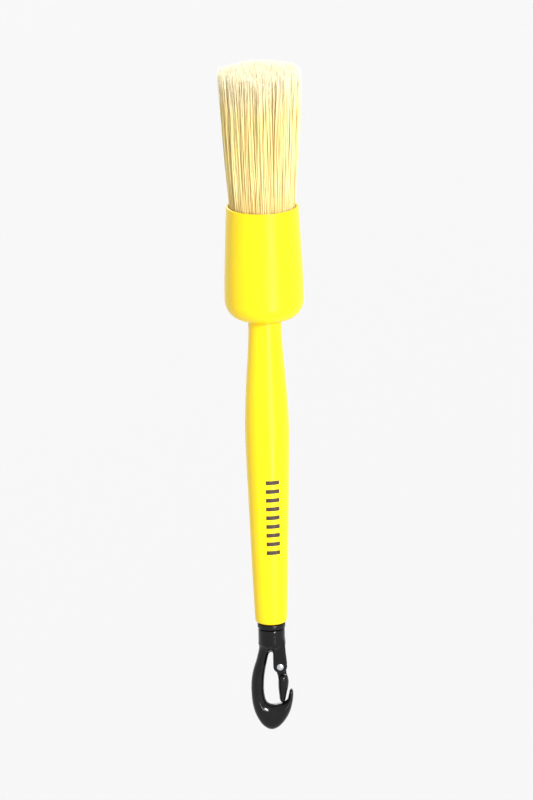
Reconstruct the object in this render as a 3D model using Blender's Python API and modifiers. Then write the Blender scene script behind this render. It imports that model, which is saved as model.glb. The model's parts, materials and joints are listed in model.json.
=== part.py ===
"""Round wheel and detailing brush, 218 mm long, with a swivelling snap hook at its tail.

The origin is on the brush's axis at the cup's underside, the shoulder that hangs in a rack's slot.
+Z runs to the bristle tips, and the snap hook lies in the XZ plane with its gate at +X.
Every size below is in millimetres, and MM turns it into metres where a mesh is made.
"""

import math

import bmesh
import bpy
from mathutils import Vector

MM = 0.001
GAP = 0.3  # clearance between pieces that touch
EDGE = 0.3  # bevel of a moulded edge
FINE_EDGE = 0.2
MERGE = 0.00001  # metres, for welding a mesh's own seams
SHARP_ANGLE = math.radians(35)

# Cup that holds the bristles
MOUTH_Z = 36.0
MOUTH_R = 11.3
BELLY_Z = 6.0
BELLY_R = 12.4
CUP_SIDE = [(11.75, 26.0), (12.2, 15.0)]  # radius and height, from the mouth to the belly
FOOT_R = 7.5  # outer edge of the flat shoulder
SEAT_R = 5.7  # its inner edge, clear of the handle's neck
SEAT_RELIEF = 0.4
SOCKET_FLOOR_Z = 12.0
SOCKET_R = 10.2
SOCKET_FILLET = 0.5
RIM_WALL = 0.8
SPIGOT_SOCKET_R = 4.3
SPIGOT_SOCKET_TOP = 10.3

# Handle: radius of the turned spindle at each height, from the neck down to the tail
NECK_R = 5.2
SPINDLE = [
    (NECK_R, -1.0),
    (5.15, -4.5),
    (5.4, -10.0),
    (6.0, -18.0),
    (6.54, -26.5),
    (6.9, -36.7),
    (6.72, -46.8),
    (6.4, -57.0),
    (6.1, -67.0),
    (5.8, -77.0),
    (5.5, -87.3),
    (5.05, -98.6),
]
TAIL_Z = -100.1
TAIL_ROUND = 1.0
TAIL_BORE_R = 3.7
TAIL_BORE_DEPTH = 20.0
BARBS = 3
BARB_DEPTH = 0.3
BARB_PITCH = 2.6
BARB_LAND = 0.1
SPIGOT_LEAD = 0.6

# Swivel: bush in the handle's tail, shank of the hook inside it
FLANGE_R = 4.4
FLANGE_THICK = 1.6
BUSH_LENGTH = 12.0
BUSH_LEAD = 0.5
SHANK_R = 2.0
SHANK_TOP_Z = -85.5
GROOVE_R = 1.5
GROOVE_TOP_Z = -86.7
GROOVE_BOTTOM_Z = -88.2
CLIP_R = 3.3
CLIP_THICK = 0.8
CLIP_MOUTH = 55.0  # degrees left open

# Snap hook, in its own plane: its outline from the collar down the spine, round the bottom to
# the nose's tip, back over the gate's seat and up the inner side
COLLAR_R = 4.2
COLLAR_END_Z = -107.0
CHIN = [(3.9, 1.4), (3.0, 2.4), (0.0, 3.0)]  # radius and drop below the collar
HOOK_OUTLINE = [
    (-3.2, -107.0),
    (-4.25, -110.0),
    (-5.0, -112.9),
    (-6.1, -116.4),
    (-6.7, -120.0),
    (-6.75, -124.2),
    (-6.3, -128.2),
    (-5.2, -131.6),
    (-3.3, -134.6),
    (-0.8, -136.0),
    (1.7, -135.2),
    (3.9, -132.8),
    (5.4, -130.0),
    (6.2, -127.0),
    (6.5, -124.6),
    (6.35, -123.2),
    (5.85, -122.6),
    (5.35, -123.2),
    (5.0, -124.6),
    (4.6, -126.1),
    (3.5, -127.0),
    (1.6, -127.5),
    (-0.4, -127.7),
    (-2.0, -126.7),
    (-2.7, -123.8),
    (-2.7, -120.0),
    (-2.3, -116.6),
    (-1.6, -113.2),
    (-1.0, -110.9),
    (0.1, -109.6),
    (1.5, -107.6),
]
HOOK_HALF_DEPTH = 2.5
HOOK_EDGE = 0.4
PIN_X = 2.5
PIN_Z = -114.6
PIN_R = 0.55
PIN_CLEARANCE = 0.25
EAR_R = 2.2
EAR_HALF_DEPTH = 2.6
EAR_EDGE = 0.6
EAR_ROOT = (2.2, -107.2)
EAR_ROOT_R = 1.9
FORK_BACK_X = -0.2  # the ears' slot runs from here out to +X
FORK_FOOT = 4.0  # and from this far below the pin
FORK_ROOF = 0.5  # to this far above the gate's eye
RIVET_HEAD_R = 1.1
RIVET_CROWN_R = 0.66
RIVET_HEAD_THICK = 0.45
RIVET_RIM = 0.1

# Gate, closed behind the nose: its arm as (x, z, half-width)
GATE_EYE_R = 1.9
GATE_EYE_HALF_DEPTH = 1.0
GATE_EYE_EDGE = 0.15
GATE_NECK_END = (3.25, -119.1)
GATE_NECK_END_R = 1.15
GATE_ARM = [
    (3.25, -118.1, 1.25),
    (3.45, -119.8, 1.7),
    (3.4, -122.2, 1.6),
    (3.2, -124.4, 1.2),
    (3.1, -126.3, 0.95),
]
GATE_DEPTH_SCALE = 1.3

# Torsion spring, and the room for it in the gate's eye: corners as x, y and height over the pin
SPRING_R = 1.18
SPRING_WIRE_R = 0.14
SPRING_TURNS = 2
SPRING_SEGMENTS = 10
SPRING_PITCH = 0.34
SPRING_START_Y = 0.02
UPPER_LEG = 1.9
LOWER_LEG = 2.6
SPRING_POCKET_R = 1.55
SPRING_POCKET_Y = (-0.2, 1.3)
UPPER_LEG_ROOM = [(1.0, -0.1, -0.1), (2.7, 1.4, 3.0)]
LOWER_LEG_ROOM = [(3.2, 0.3, -3.4), (4.1, 1.4, 0.1)]

# Bristle pack: one lock in the middle and two rings round it, flaring towards the tips
TIP_Z = 81.5
TIP_DROP = 2.0  # how far the outer ring ends below the middle
FLARE = 1.228
LOCK_R = 2.05
LOCK_CROWN = 0.7  # the flat of a lock's tip, as a share of its radius
LOCK_CROWN_DEPTH = 1.2
RINGS = [(0.0, 1, 0.0), (4.5, 6, 0.0), (8.7, 12, 15.0)]  # radius, count, turned by degrees
DOME_R = 11.6  # the fixed roots end in this ball round the centre of the mouth
LOCK_CLEAR_R = 12.1  # and the locks begin outside this one, so they can lean over it
ROOT_R = 10.0
WAIST_R = 8.8
WAIST_RISE = 0.8  # above the band, where the hair starts to swell again
SWELL_RISE = 2.0
PLUG_TOP_Z = 17.7
PLUG_EDGE = 0.6
BAND_Z = (19.0, 22.4)

# Colours as linear RGB
YELLOW = (0.90, 0.68, 0.003)
BLACK = (0.012, 0.012, 0.014)
STRAW = (0.78, 0.60, 0.30)
STRAW_DARK = (0.62, 0.46, 0.22)
AMBER = (0.42, 0.26, 0.08)
RUBBER_RED = (0.25, 0.05, 0.03)
STEEL = (0.62, 0.63, 0.65)


def clear_scene():
    for obj in list(bpy.data.objects):
        bpy.data.objects.remove(obj)


def new_collection(name):
    collection = bpy.data.collections.new(name)
    bpy.context.scene.collection.children.link(collection)
    return collection


def new_material(name, colour, roughness, metallic=0.0):
    material = bpy.data.materials.new(name)
    material.use_nodes = True
    material.diffuse_color = (*colour, 1.0)
    shader = material.node_tree.nodes["Principled BSDF"]
    shader.inputs["Base Color"].default_value = (*colour, 1.0)
    shader.inputs["Roughness"].default_value = roughness
    shader.inputs["Metallic"].default_value = metallic
    return material


def add_object(name, data, material=None):
    """Links a new object to the brush, or to the cutters if it has no material."""
    obj = bpy.data.objects.new(name, data)
    if material is None:
        CUTTERS.objects.link(obj)
        obj.hide_render = True
        obj.display_type = "WIRE"
    else:
        BRUSH.objects.link(obj)
        data.materials.append(material)
    return obj


def settle(obj):
    """Gives the object its evaluated mesh, shaded smooth with its sharp edges kept."""
    bpy.context.view_layer.update()
    graph = bpy.context.evaluated_depsgraph_get()
    mesh = bpy.data.meshes.new_from_object(obj.evaluated_get(graph))
    obj.modifiers.clear()
    obj.data = mesh
    mesh.shade_smooth()
    mesh.set_sharp_from_angle(angle=SHARP_ANGLE)
    return obj


def boolean(obj, operation, operands):
    for operand in operands:
        modifier = obj.modifiers.new(operation.lower() + " " + operand.name, "BOOLEAN")
        modifier.operation = operation
        modifier.object = operand
    return obj


def turned(name, profile, material=None, steps=32, closed=False):
    """Turned shape about Z from (radius, height) points that run down its outer side."""
    mesh = bpy.data.meshes.new(name)
    edges = [(i, i + 1) for i in range(len(profile) - 1)]
    if closed:
        edges.append((len(profile) - 1, 0))
    mesh.from_pydata([(r * MM, 0.0, z * MM) for r, z in profile], edges, [])
    obj = add_object(name, mesh, material)
    screw = obj.modifiers.new("turn", "SCREW")
    screw.steps = steps
    screw.render_steps = steps
    screw.use_merge_vertices = True
    screw.merge_threshold = MERGE
    return settle(obj)


def mesh_of_curve(name, curve, material, rotation_x=0.0, depth_scale=1.0):
    """Turns a curve into a welded mesh object that has its place in its vertices."""
    guide = bpy.data.objects.new(name + " guide", curve)
    CUTTERS.objects.link(guide)
    guide.rotation_euler.x = rotation_x
    guide.scale.y = depth_scale
    bpy.context.view_layer.update()
    graph = bpy.context.evaluated_depsgraph_get()
    mesh = bpy.data.meshes.new_from_object(guide.evaluated_get(graph))
    mesh.transform(guide.matrix_world)
    bpy.data.objects.remove(guide)
    welded = bmesh.new()
    welded.from_mesh(mesh)
    bmesh.ops.remove_doubles(welded, verts=welded.verts, dist=MERGE)
    bmesh.ops.recalc_face_normals(welded, faces=welded.faces)
    welded.to_mesh(mesh)
    welded.free()
    mesh.materials.clear()
    mesh.shade_smooth()
    mesh.set_sharp_from_angle(angle=SHARP_ANGLE)
    return add_object(name, mesh, material)


def bar(name, stations, depth_scale, material=None, resolution=4):
    """Bar of varying width along (x, z, half-width) stations in the plane of the hook."""
    curve = bpy.data.curves.new(name, "CURVE")
    curve.dimensions = "3D"
    curve.resolution_u = resolution
    curve.bevel_depth = MM
    curve.bevel_resolution = 3
    curve.use_fill_caps = True
    spline = curve.splines.new("BEZIER")
    spline.bezier_points.add(len(stations) - 1)
    for point, (x, z, half_width) in zip(spline.bezier_points, stations):
        point.co = (x * MM, 0.0, z * MM)
        point.radius = half_width
        point.handle_left_type = "AUTO"
        point.handle_right_type = "AUTO"
    return mesh_of_curve(name, curve, material, depth_scale=depth_scale)


def plate(name, outline, half_depth, edge=0.0, material=None):
    """Flat piece with an (x, z) outline, its edges rounded by edge."""
    curve = bpy.data.curves.new(name, "CURVE")
    curve.dimensions = "2D"
    curve.fill_mode = "BOTH"
    curve.extrude = (half_depth - edge) * MM
    curve.bevel_depth = edge * MM
    curve.bevel_resolution = 1
    curve.offset = -edge * MM
    spline = curve.splines.new("POLY")
    spline.points.add(len(outline) - 1)
    spline.use_cyclic_u = True
    for point, (x, z) in zip(spline.points, outline):
        point.co = (x * MM, z * MM, 0.0, 1.0)
    return mesh_of_curve(name, curve, material, rotation_x=math.radians(90))


def arc(centre, radius, start, end, count):
    """Points on an arc, as (x, z), with angles in degrees from +X."""
    angles = [math.radians(start + (end - start) * i / count) for i in range(count + 1)]
    return [
        (centre[0] + radius * math.cos(a), centre[1] + radius * math.sin(a)) for a in angles
    ]


def egg_outline(a, radius_a, b, radius_b, count=8):
    """Outline of two circles and the straight edges that touch both, as (x, z)."""
    reach = Vector(b) - Vector(a)
    heading = math.degrees(math.atan2(reach.y, reach.x))
    lean = math.degrees(math.acos((radius_a - radius_b) / reach.length))
    far = arc(b, radius_b, heading - lean, heading + lean, count)
    near = arc(a, radius_a, heading + lean, heading - lean + 360.0, count)
    return far + near


def cross_pin(name, x, z, radius, half_length, steps=16):
    """Cutter along Y through the point (x, z)."""
    mesh = bpy.data.meshes.new(name)
    made = bmesh.new()
    bmesh.ops.create_cone(
        made,
        cap_ends=True,
        segments=steps,
        radius1=radius * MM,
        radius2=radius * MM,
        depth=2 * half_length * MM,
    )
    made.to_mesh(mesh)
    made.free()
    obj = add_object(name, mesh)
    obj.rotation_euler.x = math.radians(90)
    obj.location = (x * MM, 0.0, z * MM)
    return obj


def block(name, low, high):
    """Box cutter between two corners."""
    mesh = bpy.data.meshes.new(name)
    made = bmesh.new()
    bmesh.ops.create_cube(made, size=1.0)
    made.to_mesh(mesh)
    made.free()
    obj = add_object(name, mesh)
    obj.location = [(a + b) / 2 * MM for a, b in zip(low, high)]
    obj.scale = [(b - a) * MM for a, b in zip(low, high)]
    return obj


def smooth_run(points, per_span=2, closed=False):
    """Catmull-Rom curve through pairs of numbers."""
    if closed:
        ends = [points[-1]] + points + points[:2]
    else:
        ends = [points[0]] + points + [points[-1]]
    run = []
    for corners in zip(ends, ends[1:], ends[2:], ends[3:]):
        for i in range(per_span):
            t = i / per_span
            weights = (
                -0.5 * t + t * t - 0.5 * t**3,
                1.0 - 2.5 * t * t + 1.5 * t**3,
                0.5 * t + 2.0 * t * t - 1.5 * t**3,
                -0.5 * t * t + 0.5 * t**3,
            )
            run.append(tuple(sum(w * p[k] for w, p in zip(weights, corners)) for k in (0, 1)))
    return run if closed else run + [points[-1]]


def make_handle():
    """Spindle with a barbed spigot for the cup and a blind bore in its tail."""
    spigot_r = SPIGOT_SOCKET_R - GAP
    top = SPIGOT_SOCKET_TOP - GAP
    barb_top = top - SPIGOT_LEAD
    profile = [(0.0, top), (spigot_r - SPIGOT_LEAD, top), (spigot_r, barb_top)]
    for _ in range(BARBS):
        step = barb_top - BARB_PITCH / 2
        profile += [(spigot_r - BARB_DEPTH, step), (spigot_r, step - BARB_LAND)]
        barb_top -= BARB_PITCH
    profile += [(spigot_r, -GAP), (NECK_R - EDGE, -GAP)]
    profile += smooth_run(SPINDLE)
    tail_centre = (SPINDLE[-1][0] - TAIL_ROUND, TAIL_Z + TAIL_ROUND)
    profile += arc(tail_centre, TAIL_ROUND, -20, -90, 3)
    bore_top = TAIL_Z + TAIL_BORE_DEPTH
    profile += [(TAIL_BORE_R, TAIL_Z), (TAIL_BORE_R, bore_top), (0.0, bore_top)]
    return turned("handle", profile, PLASTIC_YELLOW)


def make_cup():
    """Cup with a bristle socket above its web, a spigot socket below it and a flat ring to hang by."""
    rim_bore = MOUTH_R - RIM_WALL
    profile = [(0.0, SOCKET_FLOOR_Z), (SOCKET_R - SOCKET_FILLET, SOCKET_FLOOR_Z)]
    profile += [(SOCKET_R, SOCKET_FLOOR_Z + SOCKET_FILLET), (rim_bore, MOUTH_Z - EDGE)]
    profile += [(rim_bore + FINE_EDGE, MOUTH_Z), (MOUTH_R - FINE_EDGE, MOUTH_Z)]
    profile += [(MOUTH_R, MOUTH_Z - EDGE)] + CUP_SIDE
    for angle in range(0, 91, 18):
        radius = FOOT_R + (BELLY_R - FOOT_R) * math.cos(math.radians(angle))
        profile.append((radius, BELLY_Z * (1.0 - math.sin(math.radians(angle)))))
    profile += [(SEAT_R, 0.0), (SEAT_R - SEAT_RELIEF, SEAT_RELIEF), (SPIGOT_SOCKET_R, SEAT_RELIEF)]
    profile += [(SPIGOT_SOCKET_R, SPIGOT_SOCKET_TOP), (0.0, SPIGOT_SOCKET_TOP)]
    return turned("ferrule_cup", profile, PLASTIC_YELLOW, steps=40)


def make_bristle_fixings():
    """Cast resin under the bristles, their bound roots, and the band that binds them."""
    plug_r = SOCKET_R - GAP
    plug_foot = SOCKET_FLOOR_Z + GAP
    turned(
        "resin_plug",
        [
            (0.0, PLUG_TOP_Z),
            (plug_r, PLUG_TOP_Z),
            (plug_r, plug_foot + PLUG_EDGE),
            (plug_r - PLUG_EDGE, plug_foot),
            (0.0, plug_foot),
        ],
        RESIN,
        steps=24,
    )
    shoulder = math.degrees(math.acos(ROOT_R / DOME_R))
    roots = arc((0.0, MOUTH_Z), DOME_R, 90, shoulder, 5)
    roots[0] = (0.0, MOUTH_Z + DOME_R)
    roots += [(ROOT_R, BAND_Z[1] + SWELL_RISE), (WAIST_R, BAND_Z[1] + WAIST_RISE)]
    roots += [(WAIST_R, PLUG_TOP_Z + GAP), (0.0, PLUG_TOP_Z + GAP)]
    turned("bristle_roots", roots, HAIR_DARK, steps=24)
    low, high = BAND_Z
    inner = WAIST_R + GAP
    outer = SOCKET_R - GAP
    band = [(inner, high), (outer - FINE_EDGE, high), (outer, high - EDGE)]
    band += [(outer, low + EDGE), (outer - FINE_EDGE, low), (inner, low)]
    turned("knot_band", band, RUBBER, steps=24, closed=True)


def make_locks(bend_axis):
    """Locks of hair that flare from the mouth, cut off round the dome of the roots."""
    mesh = bpy.data.meshes.new("clearance ball")
    made = bmesh.new()
    bmesh.ops.create_uvsphere(made, u_segments=24, v_segments=16, radius=LOCK_CLEAR_R * MM)
    made.to_mesh(mesh)
    made.free()
    ball = add_object("clearance ball", mesh)
    ball.location.z = MOUTH_Z * MM
    number = 0
    for radius, count, turn in RINGS:
        top = TIP_Z - TIP_DROP * (radius / RINGS[-1][0]) ** 2
        length = top - MOUTH_Z
        tip_r = LOCK_R * (1.0 + (FLARE - 1.0) * length / (TIP_Z - MOUTH_Z))
        profile = [(0.0, length), (tip_r * LOCK_CROWN, length), (tip_r, length - LOCK_CROWN_DEPTH)]
        profile += [(LOCK_R, 0.0), (0.0, 0.0)]
        lean = math.atan2(radius * (FLARE - 1.0), TIP_Z - MOUTH_Z)
        shape = turned("lock shape %d" % count, profile, steps=12)
        for i in range(count):
            number += 1
            angle = math.radians(turn + 360.0 * i / count)
            lock = add_object("bristle_lock_%02d" % number, shape.data.copy(), HAIR)
            x, y = radius * math.cos(angle), radius * math.sin(angle)
            lock.location = (x * MM, y * MM, MOUTH_Z * MM)
            lock.rotation_euler = (0.0, lean, angle)
            boolean(lock, "DIFFERENCE", [ball])
            hang(lock, bend_axis)


def make_bush():
    """Flanged sleeve that the hook's shank turns in."""
    bore = SHANK_R + GAP
    sleeve = TAIL_BORE_R - GAP
    flange_top = TAIL_Z - GAP
    top = flange_top + BUSH_LENGTH
    foot = flange_top - FLANGE_THICK
    profile = [(bore, top), (sleeve - EDGE, top), (sleeve, top - BUSH_LEAD), (sleeve, flange_top)]
    profile += [(FLANGE_R - FINE_EDGE, flange_top), (FLANGE_R, flange_top - FINE_EDGE)]
    profile += [(FLANGE_R, foot + FINE_EDGE), (FLANGE_R - FINE_EDGE, foot), (bore, foot)]
    return turned("tail_bush", profile, PLASTIC_DARK, steps=24, closed=True)


def make_clip():
    """Open retaining ring in the shank's groove, above the bush."""
    low = (GROOVE_TOP_Z + GROOVE_BOTTOM_Z - CLIP_THICK) / 2
    high = low + CLIP_THICK
    inner = GROOVE_R + GAP
    clip = turned(
        "shank_clip",
        [(inner, high), (CLIP_R, high), (CLIP_R, low), (inner, low)],
        STEEL_BRIGHT,
        steps=24,
        closed=True,
    )
    half = math.radians(CLIP_MOUTH / 2)
    far = 2 * CLIP_R
    outline = [(0.0, 0.0), (far * math.cos(half), -far * math.sin(half))]
    outline.append((far * math.cos(half), far * math.sin(half)))
    mouth = plate("clip mouth", outline, half_depth=2 * CLIP_THICK)
    mouth.rotation_euler.x = math.radians(-90)
    mouth.location.z = (low + high) / 2 * MM
    boolean(clip, "DIFFERENCE", [mouth])
    return settle(clip)


def make_hook():
    """Shank, collar, loop with its nose, and the forked ears of the gate's hinge."""
    collar_top = TAIL_Z - GAP - FLANGE_THICK - GAP
    profile = [(0.0, SHANK_TOP_Z), (SHANK_R - EDGE, SHANK_TOP_Z), (SHANK_R, SHANK_TOP_Z - EDGE)]
    profile += [(SHANK_R, GROOVE_TOP_Z), (GROOVE_R, GROOVE_TOP_Z)]
    profile += [(GROOVE_R, GROOVE_BOTTOM_Z), (SHANK_R, GROOVE_BOTTOM_Z)]
    profile += [(SHANK_R, collar_top), (COLLAR_R - FINE_EDGE, collar_top)]
    profile += [(COLLAR_R, collar_top - FINE_EDGE), (COLLAR_R, COLLAR_END_Z)]
    profile += [(radius, COLLAR_END_Z - drop) for radius, drop in CHIN]
    hook = turned("hook_body", profile, PLASTIC_BLACK, steps=24)
    loop_outline = smooth_run(HOOK_OUTLINE, closed=True)
    loop = plate("hook loop", loop_outline, HOOK_HALF_DEPTH, edge=HOOK_EDGE)
    ear_outline = egg_outline((PIN_X, PIN_Z), EAR_R, EAR_ROOT, EAR_ROOT_R)
    ears = plate("hook ears", ear_outline, EAR_HALF_DEPTH, edge=EAR_EDGE)
    slot = GATE_EYE_HALF_DEPTH + GAP
    roof = PIN_Z + GATE_EYE_R + FORK_ROOF
    far_x = PIN_X + 2 * EAR_R
    fork = block("fork slot", (FORK_BACK_X, -slot, PIN_Z - FORK_FOOT), (far_x, slot, roof))
    hole = cross_pin("pin hole", PIN_X, PIN_Z, PIN_R + PIN_CLEARANCE, 2 * EAR_HALF_DEPTH)
    boolean(hook, "UNION", [loop, ears])
    boolean(hook, "DIFFERENCE", [fork, hole])
    return settle(hook)


def make_gate(gate_axis):
    """Gate with a thin eye between the ears and a thicker arm down to the nose."""
    neck = egg_outline((PIN_X, PIN_Z), GATE_EYE_R, GATE_NECK_END, GATE_NECK_END_R)
    gate = plate("gate", neck, GATE_EYE_HALF_DEPTH, GATE_EYE_EDGE, PLASTIC_BLACK)
    arm = bar("gate arm", GATE_ARM, GATE_DEPTH_SCALE)
    hole = cross_pin("gate eye", PIN_X, PIN_Z, PIN_R + PIN_CLEARANCE, 2 * EAR_HALF_DEPTH, steps=12)
    near, far = SPRING_POCKET_Y
    pocket = cross_pin("spring pocket", PIN_X, PIN_Z, SPRING_POCKET_R, (far - near) / 2)
    pocket.location.y = (near + far) / 2 * MM
    rooms = [
        block("leg room", *[(x, y, PIN_Z + z) for x, y, z in corners])
        for corners in (UPPER_LEG_ROOM, LOWER_LEG_ROOM)
    ]
    boolean(gate, "UNION", [arm])
    boolean(gate, "DIFFERENCE", [hole, pocket] + rooms)
    settle(gate)
    hang(gate, gate_axis)


def make_gate_spring(hook_axis):
    """Torsion spring round the rivet, one leg against the collar and one along the gate."""
    turns = []
    for i in range(SPRING_TURNS * SPRING_SEGMENTS + SPRING_SEGMENTS // 2 + 1):
        turned_by = i / SPRING_SEGMENTS
        angle = math.pi + 2 * math.pi * turned_by
        x = PIN_X + SPRING_R * math.cos(angle)
        z = PIN_Z + SPRING_R * math.sin(angle)
        turns.append((x, SPRING_START_Y + SPRING_PITCH * turned_by, z))
    upper_end = (*turns[0][:2], turns[0][2] + UPPER_LEG)
    lower_end = (*turns[-1][:2], turns[-1][2] - LOWER_LEG)
    points = [upper_end] + turns + [lower_end]
    curve = bpy.data.curves.new("gate_spring", "CURVE")
    curve.dimensions = "3D"
    curve.bevel_depth = SPRING_WIRE_R * MM
    curve.bevel_resolution = 1
    curve.use_fill_caps = True
    spline = curve.splines.new("POLY")
    spline.points.add(len(points) - 1)
    for point, place in zip(spline.points, points):
        point.co = (*[value * MM for value in place], 1.0)
    hang(mesh_of_curve("gate_spring", curve, STEEL_BRIGHT), hook_axis)


def make_rivet(hook_axis):
    """Pin of the gate with a low head at each end."""
    shaft = EAR_HALF_DEPTH + GAP / 2
    end = shaft + RIVET_HEAD_THICK
    head = [(0.0, end), (RIVET_CROWN_R, end), (RIVET_HEAD_R, shaft + RIVET_RIM)]
    head += [(RIVET_HEAD_R, shaft), (PIN_R, shaft)]
    profile = head + [(radius, -height) for radius, height in reversed(head)]
    rivet = turned("gate_rivet", profile, STEEL_BRIGHT, steps=16)
    rivet.rotation_euler.x = math.radians(90)
    rivet.location = (PIN_X * MM, 0.0, PIN_Z * MM)
    hang(rivet, hook_axis)


def joint_axis(name, location, parent=None):
    """Empty on a joint's axis, which the pieces that move with the joint hang on."""
    empty = bpy.data.objects.new(name, None)
    BRUSH.objects.link(empty)
    empty.empty_display_size = 0.01
    empty.location = [value * MM for value in location]
    if parent is not None:
        hang(empty, parent)
    return empty


def hang(obj, parent):
    """Parents the object and leaves it where it is."""
    bpy.context.view_layer.update()
    obj.parent = parent
    obj.matrix_parent_inverse = parent.matrix_world.inverted()


clear_scene()
BRUSH = new_collection("wheel_brush")
CUTTERS = new_collection("cutters")

PLASTIC_YELLOW = new_material("yellow plastic", YELLOW, 0.32)
PLASTIC_BLACK = new_material("black gloss plastic", BLACK, 0.15)
PLASTIC_DARK = new_material("black plastic", BLACK, 0.35)
HAIR = new_material("natural bristle", STRAW, 0.6)
HAIR_DARK = new_material("bristle roots", STRAW_DARK, 0.7)
RESIN = new_material("cast resin", AMBER, 0.3)
RUBBER = new_material("binding rubber", RUBBER_RED, 0.6)
STEEL_BRIGHT = new_material("bright steel", STEEL, 0.3, metallic=1.0)

make_handle()
make_cup()
make_bristle_fixings()
make_bush()
make_locks(joint_axis("bristle_bend axis", (0.0, 0.0, MOUTH_Z)))
swivel = joint_axis("hook_swivel axis", (0.0, 0.0, TAIL_Z))
hang(make_hook(), swivel)
hang(make_clip(), swivel)
make_rivet(swivel)
make_gate_spring(swivel)
make_gate(joint_axis("gate_hinge axis", (PIN_X, 0.0, PIN_Z), swivel))
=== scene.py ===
"""Looks of the wheel brush: single hairs, moulded yellow plastic and a glossy black snap hook.

The shapes are worked out in millimetres in the frame's own coordinates, and MM turns them into metres.
"""

import json
import math

import bpy
import numpy as np
from mathutils import Matrix, Vector


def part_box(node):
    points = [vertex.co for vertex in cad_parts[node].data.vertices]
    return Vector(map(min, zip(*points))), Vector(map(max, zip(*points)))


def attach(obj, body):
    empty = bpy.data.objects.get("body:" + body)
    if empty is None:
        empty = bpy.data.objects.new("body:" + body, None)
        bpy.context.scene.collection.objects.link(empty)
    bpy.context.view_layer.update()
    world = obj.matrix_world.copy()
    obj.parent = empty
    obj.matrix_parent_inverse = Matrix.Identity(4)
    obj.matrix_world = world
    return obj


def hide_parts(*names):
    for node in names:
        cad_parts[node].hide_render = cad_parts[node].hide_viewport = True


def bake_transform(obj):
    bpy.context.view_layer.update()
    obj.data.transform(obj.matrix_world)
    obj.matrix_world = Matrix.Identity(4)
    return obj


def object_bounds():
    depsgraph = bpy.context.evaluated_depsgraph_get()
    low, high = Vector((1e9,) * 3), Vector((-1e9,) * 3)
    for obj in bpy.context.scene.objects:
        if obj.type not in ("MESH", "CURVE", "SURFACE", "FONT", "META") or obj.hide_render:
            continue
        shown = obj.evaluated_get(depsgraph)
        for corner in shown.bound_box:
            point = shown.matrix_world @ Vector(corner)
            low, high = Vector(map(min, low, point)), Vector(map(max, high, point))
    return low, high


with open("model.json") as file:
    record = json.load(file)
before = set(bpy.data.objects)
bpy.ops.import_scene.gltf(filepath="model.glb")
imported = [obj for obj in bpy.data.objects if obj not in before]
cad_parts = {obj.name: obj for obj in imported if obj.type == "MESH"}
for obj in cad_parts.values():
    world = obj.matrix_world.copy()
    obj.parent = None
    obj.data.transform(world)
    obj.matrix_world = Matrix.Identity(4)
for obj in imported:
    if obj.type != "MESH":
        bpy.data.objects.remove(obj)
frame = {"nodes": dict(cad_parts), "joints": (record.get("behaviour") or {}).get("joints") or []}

CAD_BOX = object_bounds()
MM = 0.001
SEED = 20260

# Heights and radii shared with the frame
CUP_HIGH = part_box("ferrule_cup")[1] / MM
HANDLE_LOW, HANDLE_HIGH = (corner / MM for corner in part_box("handle"))
HOOK_LOW, HOOK_HIGH = (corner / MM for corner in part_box("hook_body"))
BUSH_LOW, BUSH_HIGH = (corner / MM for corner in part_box("tail_bush"))
PLUG_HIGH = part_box("resin_plug")[1] / MM
BAND_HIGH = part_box("knot_band")[1] / MM
MOUTH_Z = CUP_HIGH.z
LOCKS = ["bristle_lock_%02d" % number for number in range(1, 20)]
TIP_Z = max(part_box(lock)[1].z for lock in LOCKS) / MM
GATE_JOINT = next(joint for joint in frame["joints"] if joint["name"] == "gate_hinge")
PIN_X, PIN_Z = GATE_JOINT["pos_m"][0] / MM, GATE_JOINT["pos_m"][2] / MM


# ---------------------------------------------------------------- meshes


def new_piece(name, points, faces, material, sharp_degrees=40.0):
    """Mesh object from points in millimetres and faces as lists of point numbers."""
    mesh = bpy.data.meshes.new(name)
    mesh.from_pydata([tuple(p) for p in np.asarray(points) * MM], [], faces)
    mesh.validate()
    mesh.shade_smooth()
    mesh.set_sharp_from_angle(angle=math.radians(sharp_degrees))
    mesh.materials.append(material)
    piece = bpy.data.objects.new(name, mesh)
    bpy.context.scene.collection.objects.link(piece)
    return piece


def finish_piece(piece, body, slot, *nodes):
    """Puts a piece on its CAD body and lets it stand for the nodes named."""
    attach(piece, body)
    if nodes:
        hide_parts(*nodes)


def arc(centre, radius, start, end, count):
    """Points on an arc, with angles in degrees from the first axis."""
    turns = np.radians(np.linspace(start, end, count + 1))
    return [(centre[0] + radius * math.cos(a), centre[1] + radius * math.sin(a)) for a in turns]


def smooth_run(points, per_span, closed=False):
    """Catmull-Rom curve through pairs of numbers."""
    points = [np.array(p, float) for p in points]
    if closed:
        ends = [points[-1]] + points + points[:2]
    else:
        ends = [points[0]] + points + [points[-1]]
    run = []
    for a, b, c, d in zip(ends, ends[1:], ends[2:], ends[3:]):
        for t in np.arange(per_span) / per_span:
            run.append(
                0.5 * (2 * b + (c - a) * t + (2 * a - 5 * b + 4 * c - d) * t * t
                       + (3 * b - a - 3 * c + d) * t**3)
            )
    return run if closed else run + [points[-1]]


SEAM_HEIGHT = 0.035
SEAM_FOOT_DEGREES = 1.3
SEAM_CREST_DEGREES = 0.5
SEAM_CLEAR_DEGREES = 2.0  # no other points lie this near to a mould line


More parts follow.
